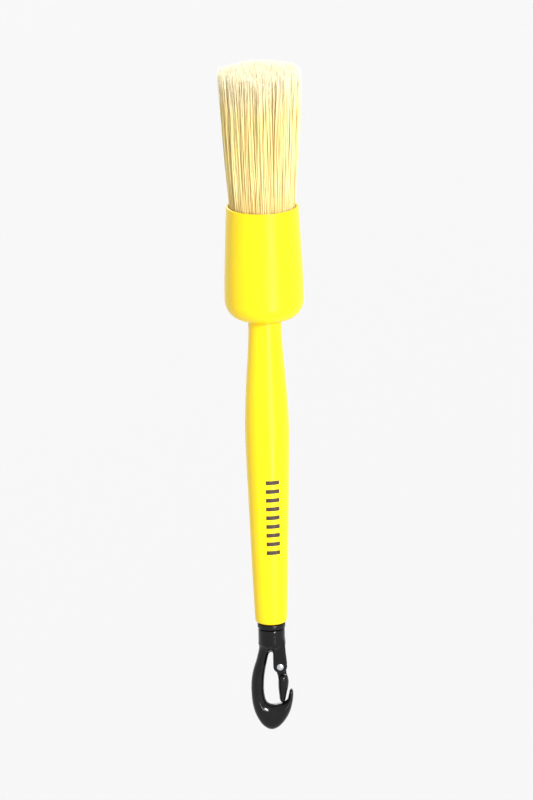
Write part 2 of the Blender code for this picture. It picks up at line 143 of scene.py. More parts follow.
def lathe(name, profile, material, steps=96, closed=False, seam=0.0):
    """Turned shape about Z. A seam above 0 raises a mould line of that height at +X and -X."""
    profile = np.array(profile, float)
    angles = np.arange(steps) * 2 * math.pi / steps
    raised = np.zeros(steps)
    if seam:
        foot, crest = SEAM_FOOT_DEGREES, SEAM_CREST_DEGREES
        offsets = np.radians([-foot, -crest, crest, foot])
        ridge = np.concatenate([offsets, offsets + math.pi])
        heights = [0.0, seam, seam, 0.0] * 2
        plain = angles[np.abs(np.sin(angles)) > math.sin(math.radians(SEAM_CLEAR_DEGREES))]
        raised = np.concatenate([np.zeros(len(plain)), heights])
        angles = np.concatenate([plain, ridge])
        order = np.argsort(angles % (2 * math.pi))
        angles, raised = angles[order], raised[order]
    columns = len(angles)
    points, rows = [], []
    for radius, height in profile:
        if radius < 1e-6:
            rows.append([len(points)] * columns)
            points.append((0.0, 0.0, height))
            continue
        rows.append(list(range(len(points), len(points) + columns)))
        swell = radius + raised
        points.extend(zip(swell * np.cos(angles), swell * np.sin(angles), [height] * columns))
    faces = []
    pairs = list(zip(rows, rows[1:])) + ([(rows[-1], rows[0])] if closed else [])
    for upper, lower in pairs:
        for i in range(columns):
            j = (i + 1) % columns
            corners = [upper[i], lower[i], lower[j], upper[j]]
            faces.append([c for k, c in enumerate(corners) if c != corners[k - 1]])
    return new_piece(name, points, faces, material)


# ---------------------------------------------------------------- solids from distance fields


BATCH = 20000  # points worked on at a time, to keep memory small
EDGE_FILLET = 0.12
SLOPE_REACH = 0.02
LEAST_SLOPE_SQUARED = 0.05
STEP_LIMIT = 0.1
STEPS_ONTO_SURFACE = 3


def outline_distance(x, z, outline):
    """Signed distance from (x, z) points to a closed outline, negative inside."""
    a = np.array(outline, float)
    b = np.roll(a, -1, axis=0)
    edge = b - a
    found = np.empty(len(x))
    for first in range(0, len(x), BATCH):
        px = x[first:first + BATCH, None]
        pz = z[first:first + BATCH, None]
        wx, wz = px - a[:, 0], pz - a[:, 1]
        along = np.clip((wx * edge[:, 0] + wz * edge[:, 1]) / (edge**2).sum(1), 0, 1)
        gap = np.hypot(wx - along * edge[:, 0], wz - along * edge[:, 1]).min(1)
        rises = (a[:, 1] <= pz) != (b[:, 1] <= pz)
        safe = np.where(edge[:, 1] == 0, 1.0, edge[:, 1])
        crosses = rises & (px < a[:, 0] + wz / safe * edge[:, 0])
        found[first:first + BATCH] = np.where(crosses.sum(1) % 2 == 1, -gap, gap)
    return found


class Outline:
    """Distance to a closed outline, kept on a fine grid and blurred, so that its slopes are smooth."""

    STEP = 0.1
    MARGIN = 3.0

    def __init__(self, points, blur):
        points = np.array(points)
        self.low = points.min(0) - self.MARGIN
        x, z = (
            np.arange(low, high, self.STEP)
            for low, high in zip(self.low, points.max(0) + self.MARGIN)
        )
        grid = np.stack(np.meshgrid(x, z, indexing="ij"), -1).reshape(-1, 2)
        self.table = outline_distance(grid[:, 0], grid[:, 1], points).reshape(len(x), len(z))
        reach = int(3 * blur / self.STEP)
        weights = np.exp(-0.5 * (np.arange(-reach, reach + 1) * self.STEP / blur) ** 2)
        weights /= weights.sum()
        for axis in (0, 1):
            pad = [(reach, reach) if a == axis else (0, 0) for a in (0, 1)]
            wide = np.pad(self.table, pad, mode="edge")
            self.table = np.apply_along_axis(np.convolve, axis, wide, weights, mode="valid")

    def __call__(self, x, z):
        place = [(value - low) / self.STEP for value, low in zip((x, z), self.low)]
        (i, u), (j, v) = (
            (whole, np.clip(value - whole, 0, 1))
            for value, whole in (
                (value, np.clip(value.astype(int), 0, size - 2))
                for value, size in zip(place, self.table.shape)
            )
        )
        left = self.table[i, j] * (1 - v) + self.table[i, j + 1] * v
        right = self.table[i + 1, j] * (1 - v) + self.table[i + 1, j + 1] * v
        return left * (1 - u) + right * u


def pillow(flat, y, edge, half_depth):
    """Slab of a flat shape whose section is an ellipse up to edge in from its outline."""
    return np.hypot(np.maximum(flat + edge, 0.0), y * edge / half_depth) - edge


def slab(flat, y, edge, half_depth):
    """Slab of a flat shape with flat faces and edges rounded by edge."""
    across = np.abs(y) - half_depth + edge
    outside = np.hypot(np.maximum(flat + edge, 0.0), np.maximum(across, 0.0))
    return outside + np.minimum(np.maximum(flat + edge, across), 0.0) - edge


def joined(a, b, fillet):
    """Shapes a and b as one, with a fillet where they meet."""
    blend = np.maximum(fillet - np.abs(a - b), 0.0) / fillet
    return np.minimum(a, b) - blend * blend * fillet / 4


def less(a, b, fillet=EDGE_FILLET):
    """Shape a with shape b taken out, and the edge between them rounded."""
    return -joined(-a, b, fillet)


def surface_of(field, low, high, step):
    """Points and quads of a field's zero surface, by surface nets, with the points moved onto it."""
    axes = [np.arange(a, b + step, step) for a, b in zip(low, high)]
    grid = np.stack(np.meshgrid(*axes, indexing="ij"), -1)
    value = field(grid.reshape(-1, 3)).reshape(grid.shape[:3])
    cells = tuple(n - 1 for n in value.shape)
    total = np.zeros(cells + (3,))
    count = np.zeros(cells)

    def corner(array, offset):
        return array[tuple(slice(o, o + n) for o, n in zip(offset, cells))]

    for axis in range(3):
        for i in (0, 1):
            for j in (0, 1):
                start = np.insert([i, j], axis, 0)
                end = np.insert([i, j], axis, 1)
                v0, v1 = corner(value, start), corner(value, end)
                cut = (v0 < 0) != (v1 < 0)
                share = np.where(cut, v0 / np.where(cut, v0 - v1, 1.0), 0.0)
                place = start + share[..., None] * (end - start)
                total += place * cut[..., None]
                count += cut
    active = count > 0
    number = np.full(cells, -1)
    number[active] = np.arange(active.sum())
    place = np.argwhere(active) + total[active] / count[active][:, None]
    points = place * step + np.array([axis[0] for axis in axes])
    faces = []
    for axis in range(3):
        near = value[tuple(slice(0, -1) if a == axis else slice(1, -1) for a in range(3))]
        far = value[tuple(slice(1, None) if a == axis else slice(1, -1) for a in range(3))]
        ring = []
        for i, j in ((0, 0), (1, 0), (1, 1), (0, 1)):
            shift = np.insert([i, j], axis, 0)
            ring.append(
                number[tuple(slice(s, s + n) for s, n in zip(shift, near.shape))]
            )
        leaving = (near < 0) & (far >= 0)
        entering = (near >= 0) & (far < 0)
        turn = 1 if axis != 1 else -1
        quads = np.stack(ring, -1)
        faces.append(quads[leaving][:, ::turn])
        faces.append(quads[entering][:, ::-turn])
    for _ in range(STEPS_ONTO_SURFACE):
        points -= step_to_surface(field, points)
    return points, np.concatenate(faces)


def step_to_surface(field, points):
    """Newton step from each point to the field's zero surface."""
    slope = np.empty_like(points)
    for axis in range(3):
        offset = np.zeros(3)
        offset[axis] = SLOPE_REACH
        slope[:, axis] = (field(points + offset) - field(points - offset)) / (2 * SLOPE_REACH)
    size = np.maximum((slope**2).sum(1), LEAST_SLOPE_SQUARED)
    return slope * np.clip(field(points) / size, -STEP_LIMIT, STEP_LIMIT)[:, None]


# ---------------------------------------------------------------- materials


SEAM_HALF_WIDTH = 0.00012  # metres


class Nodes:
    """Small helper that adds shader nodes to one material."""

    def __init__(self, name):
        self.material = bpy.data.materials.new(name)
        self.material.use_nodes = True
        self.tree = self.material.node_tree
        self.shader = next(n for n in self.tree.nodes if n.type == "BSDF_PRINCIPLED")

    def set(self, **values):
        """Plain values on the shader, with _ for a space in a socket's name."""
        for key, value in values.items():
            self.shader.inputs[key.replace("_", " ")].default_value = value

    def add(self, kind, **settings):
        node = self.tree.nodes.new(kind)
        for key, value in settings.items():
            setattr(node, key, value)
        return node

    def link(self, source, target):
        self.tree.links.new(source, target)

    def noise(self, scale, detail=3.0, stretch=(1, 1, 1), roughness=0.5):
        """Noise fixed to the object, with scale in cells per metre."""
        place = self.add("ShaderNodeTexCoord")
        mapping = self.add("ShaderNodeMapping")
        mapping.inputs["Scale"].default_value = stretch
        texture = self.add("ShaderNodeTexNoise")
        texture.inputs["Scale"].default_value = scale
        texture.inputs["Detail"].default_value = detail
        texture.inputs["Roughness"].default_value = roughness
        self.link(place.outputs["Object"], mapping.inputs["Vector"])
        self.link(mapping.outputs["Vector"], texture.inputs["Vector"])
        return texture.outputs["Fac"]

    def ramp(self, source, stops):
        """Colour ramp from (position, colour) stops."""
        node = self.add("ShaderNodeValToRGB")
        elements = node.color_ramp.elements
        while len(elements) < len(stops):
            elements.new(0.5)
        for element, (position, colour) in zip(elements, stops):
            element.position = position
            element.color = (*colour, 1.0)
        self.link(source, node.inputs["Fac"])
        return node.outputs["Color"]

    def span(self, source, low, high, from_low=0.3, from_high=0.7):
        """Value from low to high as the source goes from from_low to from_high."""
        node = self.add("ShaderNodeMapRange")
        for key, value in (
            ("From Min", from_low), ("From Max", from_high), ("To Min", low), ("To Max", high)
        ):
            node.inputs[key].default_value = value
        self.link(source, node.inputs["Value"])
        return node.outputs["Result"]

    def mix(self, factor, a, b, blend="MIX"):
        """Mix of two colours, each a socket or three numbers."""
        node = self.add("ShaderNodeMix", data_type="RGBA", blend_type=blend)
        for socket, value in ((node.inputs[0], factor), (node.inputs[6], a), (node.inputs[7], b)):
            if isinstance(value, bpy.types.NodeSocket):
                self.link(value, socket)
            elif isinstance(value, (int, float)):
                socket.default_value = value
            else:
                socket.default_value = (*value, 1.0)
        return node.outputs[2]

    def seam(self):
        """Ridge where the two halves of a mould met, in the plane Y = 0."""
        place = self.add("ShaderNodeTexCoord")
        split = self.add("ShaderNodeSeparateXYZ")
        self.link(place.outputs["Object"], split.inputs["Vector"])
        size = self.add("ShaderNodeMath", operation="ABSOLUTE")
        self.link(split.outputs["Y"], size.inputs[0])
        return self.span(size.outputs["Value"], 1.0, 0.0, 0.0, SEAM_HALF_WIDTH)

    def bump(self, heights, distances):
        """Bump from one or more height sockets, each with its distance in metres."""
        previous = None
        for height, reach in zip(heights, distances):
            node = self.add("ShaderNodeBump")
            node.inputs["Strength"].default_value = 1.0
            node.inputs["Distance"].default_value = reach
            self.link(height, node.inputs["Height"])
            if previous is not None:
                self.link(previous, node.inputs["Normal"])
            previous = node.outputs["Normal"]
        self.link(previous, self.shader.inputs["Normal"])


def yellow_plastic():
    """Dyed plastic with a faint flow pattern, orange-peel moulding skin and light handling marks."""
    m = Nodes("yellow moulded plastic")
    flow = m.noise(90.0, detail=4.0, stretch=(1, 1, 0.25))
    tone = m.ramp(flow, [(0.3, (0.82, 0.575, 0.002)), (0.7, (0.88, 0.630, 0.003))])
    grime = m.span(m.noise(420.0, detail=6.0, roughness=0.65), 0.0, 0.16, 0.60, 0.78)
    m.link(m.mix(grime, tone, (0.52, 0.32, 0.015)), m.shader.inputs["Base Color"])
    rub = m.noise(260.0, detail=5.0, stretch=(1, 1, 0.2))
    m.link(m.span(rub, 0.24, 0.40), m.shader.inputs["Roughness"])
    m.set(IOR=1.38)
    m.bump([m.noise(1500.0, detail=2.0), m.noise(5200.0, detail=1.0)], [0.00004, 0.00001])
    return m.material


def black_plastic(name, smoothest, roughest):
    """Black nylon with a fine skin, hairline scratches and a mould line."""
    m = Nodes(name)
    haze = m.noise(240.0, detail=4.0)
    m.link(
        m.ramp(haze, [(0.3, (0.0015, 0.0015, 0.0018)), (0.75, (0.004, 0.004, 0.0045))]),
        m.shader.inputs["Base Color"],
    )
    scratch = m.noise(900.0, detail=5.0, stretch=(1, 1, 0.12))
    m.link(m.span(scratch, smoothest, roughest, 0.4, 0.75), m.shader.inputs["Roughness"])
    m.set(IOR=1.35)
    m.bump([m.noise(1100.0, detail=2.0), m.seam()], [0.00003, 0.00006])
    return m.material


def bright_steel():
    m = Nodes("bright steel")
    m.link(
        m.ramp(m.noise(1500.0, detail=3.0), [(0.3, (0.50, 0.51, 0.53)), (0.7, (0.68, 0.69, 0.71))]),
        m.shader.inputs["Base Color"],
    )
    m.link(m.span(m.noise(3000.0, stretch=(1, 0.2, 1)), 0.18, 0.36), m.shader.inputs["Roughness"])
    m.set(Metallic=1.0)
    return m.material


def cast_resin():
    m = Nodes("cast resin")
    m.link(
        m.ramp(m.noise(400.0, detail=4.0), [(0.3, (0.30, 0.17, 0.04)), (0.7, (0.50, 0.31, 0.10))]),
        m.shader.inputs["Base Color"],
    )
    m.set(Roughness=0.3)
    m.bump([m.noise(900.0)], [0.00005])
    return m.material


def binding_rubber():
    m = Nodes("binding rubber")
    m.link(
        m.ramp(m.noise(700.0, detail=3.0), [(0.3, (0.20, 0.04, 0.02)), (0.7, (0.30, 0.07, 0.04))]),
        m.shader.inputs["Base Color"],
    )
    m.set(Roughness=0.65)
    m.bump([m.noise(1600.0)], [0.00004])
    return m.material


def printed_ink():
    """Dark printing ink, worn thin in specks so that the yellow shows through."""
    m = Nodes("printed ink")
    wear = m.span(m.noise(1900.0, detail=4.0, roughness=0.7), 0.0, 1.0, 0.60, 0.76)
    m.link(m.mix(wear, (0.030, 0.016, 0.008), (0.42, 0.24, 0.02)), m.shader.inputs["Base Color"])
    m.set(Roughness=0.5)
    return m.material


def natural_bristle():
    """Hair whose colour runs along its length, darker towards the roots by painted shade and paler at
    the tips partly by painted light, and from hair to hair, by its own map.
    """
    m = Nodes("natural bristle")
    place = m.add("ShaderNodeUVMap", uv_map=HAIR_MAP)
    split = m.add("ShaderNodeSeparateXYZ")
    m.link(place.outputs["UV"], split.inputs["Vector"])
    shade, along = split.outputs["X"], split.outputs["Y"]
    hair = m.ramp(
        shade,
        [
            (0.0, (0.70, 0.47, 0.17)),
            (0.12, (0.88, 0.66, 0.25)),
            (0.5, (0.97, 0.80, 0.35)),
            (0.85, (0.98, 0.88, 0.44)),
            (1.0, (0.98, 0.93, 0.60)),
        ],
    )
    # Painted shade: each hair is darker towards its root, into the lower part of the pack just above
    # the cup's mouth.
    length = m.ramp(
        along,
        [
            (0.0, (0.72, 0.64, 0.52)),
            (0.28, (0.90, 0.83, 0.72)),
            (0.45, (1.0, 1.0, 1.0)),
        ],
    )
    body = m.mix(1.0, hair, length, "MULTIPLY")
    # Paler towards the tips: partly the hairs' own pale flagged tips, partly painted light.
    pale = m.span(along, 0.0, 0.75, 0.78, 1.0)
    m.link(m.mix(pale, body, (0.96, 0.90, 0.72)), m.shader.inputs["Base Color"])
    m.set(Roughness=0.5, IOR=1.36)
    return m.material


# ---------------------------------------------------------------- cup, handle, print, bush


CUP_WALL = 0.8
CUP_SOCKET_R = 10.2
CUP_FLOOR_Z = 12.0
SHOULDER_R = 7.5
BELLY_Z = 6.0
MOUTH_R = 11.3
CUP_SIDE = [(MOUTH_R + 0.02, MOUTH_Z - 1.2), (11.75, 26.0), (12.2, 15.0)]
SOCKET_ROUND = 0.5
CHAMFER = 0.2
SPIGOT_SOCKET_R = 4.3
SPIGOT_SOCKET_TOP = 10.3
SPINDLE = [
    (5.2, -1.0), (5.15, -4.5), (5.4, -10.0), (6.0, -18.0), (6.54, -26.5), (6.9, -36.7),
    (6.72, -46.8), (6.4, -57.0), (6.1, -67.0), (5.8, -77.0), (5.5, -87.3), (5.05, -98.6),
]
TAIL_ROUND = 1.0
TAIL_BORE_R = 3.7
TAIL_BORE_TOP = -80.1
SPIGOT_PLAY = 0.3
SPIGOT_LEAD = 0.6
BARBS = 3
BARB_PITCH = 2.6
BARB_FALL = 1.3
BARB_DEPTH = 0.3
BARB_STEP = 0.1
NECK_TOP = -0.3
NECK_ROUND = 0.4
BUSH_BORE_R = 2.3
BUSH_PLAY = 0.3
BUSH_LEAD = (0.3, 0.4)  # across and down
FLANGE_ROUND = 0.35


def make_cup(material):
    """Cup with a rounded lip and foot, its bristle socket and its spigot socket."""
    belly = CUP_HIGH.x
    bore = MOUTH_R - CUP_WALL
    corner = CUP_SOCKET_R - SOCKET_ROUND
    profile = [(0.0, CUP_FLOOR_Z), (corner, CUP_FLOOR_Z)]
    profile += arc((corner, CUP_FLOOR_Z + SOCKET_ROUND), SOCKET_ROUND, -60, 0, 3)
    profile += [(bore, MOUTH_Z - CUP_WALL / 2)]
    profile += arc((bore + CUP_WALL / 2, MOUTH_Z - CUP_WALL / 2), CUP_WALL / 2, 160, 0, 8)
    profile += smooth_run(CUP_SIDE, 6)
    for angle in np.radians(np.linspace(0, 90, 19)):
        radius = SHOULDER_R + (belly - SHOULDER_R) * math.cos(angle)
        profile.append((radius, BELLY_Z * (1 - math.sin(angle))))
    profile += [(SPIGOT_SOCKET_R + CHAMFER, 0.0), (SPIGOT_SOCKET_R, CHAMFER)]
    profile += [(SPIGOT_SOCKET_R, SPIGOT_SOCKET_TOP), (0.0, SPIGOT_SOCKET_TOP)]
    cup = lathe("cup_shell", profile, material, steps=120, seam=SEAM_HEIGHT)
    finish_piece(cup, "brush_handle", "yellow_plastic", "ferrule_cup")


def make_handle(material):
    """Spindle with its spigot, a mould line along each side and the bore in its tail."""
    top = HANDLE_HIGH.z
    spigot = SPIGOT_SOCKET_R - SPIGOT_PLAY
    neck = SPINDLE[0][0] - NECK_ROUND
    barb = top - SPIGOT_LEAD
    profile = [(0.0, top), (spigot - SPIGOT_LEAD, top), (spigot, barb)]
    for _ in range(BARBS):
        profile += [(spigot - BARB_DEPTH, barb - BARB_FALL), (spigot, barb - BARB_FALL - BARB_STEP)]
        barb -= BARB_PITCH
    profile += [(spigot, NECK_TOP), (neck - 0.1, NECK_TOP)]
    profile += arc((neck, NECK_TOP - NECK_ROUND), NECK_ROUND, 80, 10, 4)
    profile += smooth_run(SPINDLE, 8)
    tail = (SPINDLE[-1][0] - TAIL_ROUND, HANDLE_LOW.z + TAIL_ROUND)
    profile += arc(tail, TAIL_ROUND, -14, -90, 7)
    profile += [(TAIL_BORE_R + CHAMFER, HANDLE_LOW.z), (TAIL_BORE_R, HANDLE_LOW.z + CHAMFER)]
    profile += [(TAIL_BORE_R, TAIL_BORE_TOP), (0.0, TAIL_BORE_TOP)]
    handle = lathe("handle_spindle", profile, material, steps=96, seam=SEAM_HEIGHT)
    finish_piece(handle, "brush_handle", "yellow_plastic", "handle")


def spindle_radius(height):
    """Radius of the handle's spindle at each height."""
    run = np.array(smooth_run(SPINDLE, 16))[::-1]
    return np.interp(height, run[:, 1], run[:, 0])


PRINT_TOP = -51.9
PRINT_TURN = 12.0  # degrees from the front towards +X
BAR_COUNT = 9
BAR_PITCH = 2.9
BAR_HEIGHT = 1.3
BAR_WIDTH = 4.4
FILM = (0.022, -0.06)  # its outer and inner sheet, from the plastic's surface
FILM_ROWS, FILM_COLUMNS = 5, 9


def make_print(material):
    """Generic print on the handle: a ladder of equal plain bars, each a thin curved film."""
    points, faces = [], []
    for bar in range(BAR_COUNT):
        upper = PRINT_TOP - bar * BAR_PITCH
        heights = np.linspace(upper, upper - BAR_HEIGHT, FILM_ROWS)
        across = np.linspace(-BAR_WIDTH / 2, BAR_WIDTH / 2, FILM_COLUMNS)
        first = len(points)
        for film in FILM:
            for height in heights:
                radius = spindle_radius(height)
                turn = across / radius + math.radians(PRINT_TURN - 90)
                points.extend(
                    zip((radius + film) * np.cos(turn), (radius + film) * np.sin(turn),
                        [height] * len(turn))
                )
        faces += film_faces(first, FILM_ROWS, FILM_COLUMNS)
    mark = new_piece("printed_mark", points, faces, material, sharp_degrees=60)
    finish_piece(mark, "brush_handle", "black_plastic")


def film_faces(first, rows, columns):
    """Faces of one film: its outer sheet, its inner sheet and the rim between them."""
    inner = first + rows * columns
    faces = []
    for i in range(rows - 1):
        for j in range(columns - 1):
            a, b = i * columns + j, (i + 1) * columns + j
            faces.append([first + a, first + b, first + b + 1, first + a + 1])
            faces.append([inner + a + 1, inner + b + 1, inner + b, inner + a])
    rim = list(range(columns))
    rim += [i * columns + columns - 1 for i in range(1, rows)]
    rim += [(rows - 1) * columns + j for j in range(columns - 2, -1, -1)]
    rim += [i * columns for i in range(rows - 2, 0, -1)]
    for a, b in zip(rim, rim[1:] + rim[:1]):
        faces.append([first + a, first + b, inner + b, inner + a])
    return faces


def make_bush(material):
    """Flanged sleeve in the handle's tail."""
    sleeve, flange = TAIL_BORE_R - BUSH_PLAY, BUSH_HIGH.x - FLANGE_ROUND
    top, foot = BUSH_HIGH.z, BUSH_LOW.z
    seat = HANDLE_LOW.z - BUSH_PLAY
    profile = [(BUSH_BORE_R, top), (sleeve - BUSH_LEAD[0], top), (sleeve, top - BUSH_LEAD[1])]
    profile += [(sleeve, seat)]
    profile += arc((flange, seat - FLANGE_ROUND), FLANGE_ROUND, 90, 0, 5)
    profile += arc((flange, foot + FLANGE_ROUND), FLANGE_ROUND, 0, -90, 5)
    profile += [(BUSH_BORE_R, foot)]
    bush = lathe("swivel_bush", profile, material, steps=72, closed=True)
    finish_piece(bush, "brush_handle", "black_plastic", "tail_bush")


# ---------------------------------------------------------------- snap hook


HOOK_OUTLINE = [
    (-3.2, -107.0), (-4.25, -110.0), (-5.0, -112.9), (-6.1, -116.4), (-6.7, -120.0),
    (-6.75, -124.2), (-6.3, -128.2), (-5.2, -131.6), (-3.3, -134.6), (-0.8, -136.0),
    (1.7, -135.2), (3.9, -132.8), (5.4, -130.0), (6.2, -127.0), (6.5, -124.6),
    (6.35, -123.2), (5.85, -122.6), (5.35, -123.2), (5.0, -124.6), (4.6, -126.1),
    (3.5, -127.0), (1.6, -127.5), (-0.4, -127.7), (-2.0, -126.7), (-2.7, -123.8),
    (-2.7, -120.0), (-2.3, -116.6), (-1.6, -113.2), (-1.0, -110.9), (0.1, -109.6),
    (1.5, -107.6),
]
COLLAR_R = 4.2
COLLAR_END_Z = -107.6
COLLAR_TOP_Z = -102.3
SHANK_R = 2.0
GROOVE_R = 1.5
GROOVE_Z = (-88.2, -86.7)
EAR_R = 2.2
EAR_ROOT = (2.2, -107.2)
EAR_ROOT_R = 1.9
EAR_HALF_DEPTH = 2.6
GATE_EYE_R = 1.9
GATE_EYE_HALF_DEPTH = 1.0
FORK_HALF = 1.3
LOOP_EDGE = 3.2  # the loop's section is an ellipse up to this far in from its outline
LOOP_HALF_DEPTH = 2.75
ARM_EDGE = 1.7
ARM_HALF_DEPTH = 2.2
OUTLINE_BLUR = 0.22
EAR_EDGE = 0.6
COLLAR_EDGE = 0.35
CHIN_RISE = 1.0  # the collar's rounded underside begins this far above its end
CHIN_TOP = 1.5
CHIN_TAPER = 1.25
CHIN_INSET = 0.1
SHANK_LAP = 2.0  # how far the shank's solid runs on into the collar
CHIN_FILLET, LOOP_FILLET, EAR_FILLET, SHANK_FILLET = 0.2, 1.1, 0.9, 0.15
SLOT_DROP = 0.8  # the middle of the fork's slot below the pin
SLOT_HALF_HEIGHT = 3.2
SLOT_BACK_X = -0.2
SLOT_FILLET = 0.25
PIN_HOLE_R = 0.62
NECK_END = (3.3, -119.0)
NECK_END_R = 1.2
NECK_EDGE = 0.2
NECK_FILLET = 0.5
GATE_OUTLINE = [
    (1.95, -118.0), (1.8, -119.6), (1.8, -122.2), (2.0, -124.6), (2.15, -126.2),
    (2.75, -127.0), (3.75, -126.75), (4.1, -125.6), (4.5, -123.6), (5.0, -121.4),
    (5.05, -119.6), (4.55, -118.0), (3.3, -117.4),
]
HOOK_STEP = 0.2  # spacing of the moulding's surface points
GATE_STEP = 0.14
HOOK_ROOM = 1.0  # space left round a moulding for its surface to be found in
GATE_ROOM = Vector((1.0, 1.0, 1.5))
MOULDING_SHARP_DEGREES = 75
RIVET_R = 0.55
RIVET_HEAD_R = 1.1
RIVET_RIM = 0.08
RIVET_PLAY = 0.1


def egg_distance(x, z, a, radius_a, b, radius_b):
    """Distance to a flat shape that tapers from a circle round a to a circle round b."""
    reach = np.subtract(b, a)
    along = np.clip(((x - a[0]) * reach[0] + (z - a[1]) * reach[1]) / (reach**2).sum(), 0, 1)
    gap = np.hypot(x - a[0] - along * reach[0], z - a[1] - along * reach[1])
    return gap - radius_a - along * (radius_b - radius_a)


def drum(x, y, z, radius, low, high, edge=0.25):
    """Cylinder about Z with rounded rims."""
    out = np.hypot(x, y) - radius + edge
    up = np.abs(z - (low + high) / 2) - (high - low) / 2 + edge
    return np.hypot(np.maximum(out, 0), np.maximum(up, 0)) + np.minimum(np.maximum(out, up), 0) - edge


def hook_field(p, outline):
    """Shank, collar, loop and ears in one moulding, less the fork's slot and the pin's hole."""
    x, y, z = p[:, 0], p[:, 1], p[:, 2]
    loop = pillow(outline(x, z), y, LOOP_EDGE, LOOP_HALF_DEPTH)
    ears = egg_distance(x, z, (PIN_X, PIN_Z), EAR_R, EAR_ROOT, EAR_ROOT_R)
    ears = slab(ears, y, EAR_EDGE, EAR_HALF_DEPTH)
    collar = drum(x, y, z, COLLAR_R, COLLAR_END_Z, COLLAR_TOP_Z, COLLAR_EDGE)
    above = z - COLLAR_END_Z
    chin = np.hypot(np.hypot(x, y), np.minimum(above - CHIN_RISE, 0) * CHIN_TAPER)
    chin = np.maximum(chin - COLLAR_R + CHIN_INSET, above - CHIN_TOP)
    shank = drum(x, y, z, SHANK_R, COLLAR_TOP_Z - SHANK_LAP, HOOK_HIGH.z)
    groove_middle, groove_half = sum(GROOVE_Z) / 2, (GROOVE_Z[1] - GROOVE_Z[0]) / 2
    groove = np.maximum(GROOVE_R - np.hypot(x, y), np.abs(z - groove_middle) - groove_half)
    body = joined(joined(collar, chin, CHIN_FILLET), loop, LOOP_FILLET)
    body = joined(body, ears, EAR_FILLET)
    body = joined(body, less(shank, groove), SHANK_FILLET)
    slot = np.maximum(np.abs(y) - FORK_HALF, np.abs(z - PIN_Z + SLOT_DROP) - SLOT_HALF_HEIGHT)
    slot = np.maximum(slot, SLOT_BACK_X - x)
    return less(less(body, slot, SLOT_FILLET), pin_hole(x, z))


def pin_hole(x, z):
    """Bore for the rivet, right through."""
    return np.hypot(x - PIN_X, z - PIN_Z) - PIN_HOLE_R


def gate_field(p, outline):
    """Thin eye and neck, and a rounded arm."""
    x, y, z = p[:, 0], p[:, 1], p[:, 2]
    neck = egg_distance(x, z, (PIN_X, PIN_Z), GATE_EYE_R, NECK_END, NECK_END_R)
    neck = slab(neck, y, NECK_EDGE, GATE_EYE_HALF_DEPTH)
    arm = pillow(outline(x, z), y, ARM_EDGE, ARM_HALF_DEPTH)
    return less(joined(neck, arm, NECK_FILLET), pin_hole(x, z))


def make_hook(material):
    """The hook's whole moulding."""
    low = (HOOK_LOW.x - HOOK_ROOM, -COLLAR_R - HOOK_ROOM, HOOK_LOW.z - HOOK_ROOM)
    high = (HOOK_HIGH.x + HOOK_ROOM, COLLAR_R + HOOK_ROOM, HOOK_HIGH.z + HOOK_ROOM)
    outline = Outline(smooth_run(HOOK_OUTLINE, 6, closed=True), OUTLINE_BLUR)
    points, faces = surface_of(lambda p: hook_field(p, outline), low, high, HOOK_STEP)
    hook = new_piece("hook_moulding", points, faces.tolist(), material, MOULDING_SHARP_DEGREES)
    finish_piece(hook, "snap_hook", "black_gloss_plastic", "hook_body")


def make_gate(material):
    """The gate's moulding, shut."""
    low, high = (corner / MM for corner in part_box("gate"))
    outline = Outline(smooth_run(GATE_OUTLINE, 6, closed=True), OUTLINE_BLUR)
    points, faces = surface_of(
        lambda p: gate_field(p, outline), low - GATE_ROOM, high + GATE_ROOM, GATE_STEP
    )
    gate = new_piece("gate_moulding", points, faces.tolist(), material, MOULDING_SHARP_DEGREES)
    finish_piece(gate, "hook_gate", "black_gloss_plastic", "gate")


def make_rivet(material):
    """Hinge pin with a domed head on each side."""
    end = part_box("gate_rivet")[1].y / MM
    seat = EAR_HALF_DEPTH + RIVET_PLAY
    rim = seat + RIVET_RIM
    dome = [(RIVET_HEAD_R * math.sin(a), rim + (end - rim) * math.cos(a))
            for a in np.radians(np.linspace(0, 90, 9))]
    dome[0] = (0.0, end)
    profile = dome + [(RIVET_HEAD_R, seat), (RIVET_R, seat)]
    profile += [(RIVET_R, -seat), (RIVET_HEAD_R, -seat)]
    profile += [(r, -h) for r, h in dome[::-1]]
    rivet = lathe("hinge_rivet", profile, material, steps=40)
    rivet.matrix_world = Matrix.Translation((PIN_X * MM, 0, PIN_Z * MM)) @ Matrix.Rotation(
        math.radians(90), 4, "X"
    )
    finish_piece(rivet, "snap_hook", "bright_steel", "gate_rivet")


# ---------------------------------------------------------------- bristles


HAIR_MAP = "OFBake"  # each hair is a thin strip of this map: across by its shade, up by its length
HAIR_COUNT = 3800
HAIR_R = 0.115
TIP_R = 0.045
PACK_R = 10.25  # at the cup's mouth
WAIST_R = 8.6  # inside the band
FLARE = 1.235
CLUMPS = 110
TIP_DROP = 2.0  # the pack's rim ends this far below its middle
ROOT_SCATTER = 0.07
CLUMP_SCATTER = 0.5
MOST_PULL = 0.55  # the most that a clump gathers its hairs, as a share of the way to its middle
PULL_SPREAD = (0.5, 1.1)  # from hair to hair
CLUMP_SWAY, HAIR_STRAY, HAIR_BOW = 0.4, 0.45, 0.28
WILD_SHARE = 0.02  # hairs that stand out from the pack
WILD_REACH = (0.6, 1.8)
MEAN_TRIM = 0.9  # how much shorter than the longest a hair usually is
CLUMP_TRIM = 0.35
TRIM_LIMITS = (-0.2, 7.0)
FIXED_STATIONS = (PLUG_HIGH.z + 0.3, BAND_HIGH.z + 0.4, BAND_HIGH.z + 3.5, MOUTH_Z - 0.5)
FIXED_SPREAD = (WAIST_R / PACK_R, WAIST_R / PACK_R, 0.985, 1.0)
FREE_STATIONS = 12  # points along a hair above the mouth, close enough to bend without kinks
THICKNESS_SPREAD = (0.8, 1.2)
TAPER_AT = (0.0, 0.75, 1.0)
TAPER_R = (HAIR_R, HAIR_R * 0.92, TIP_R)
STRIP_HALF_WIDTH = 0.0015  # of a hair's strip in the hair map
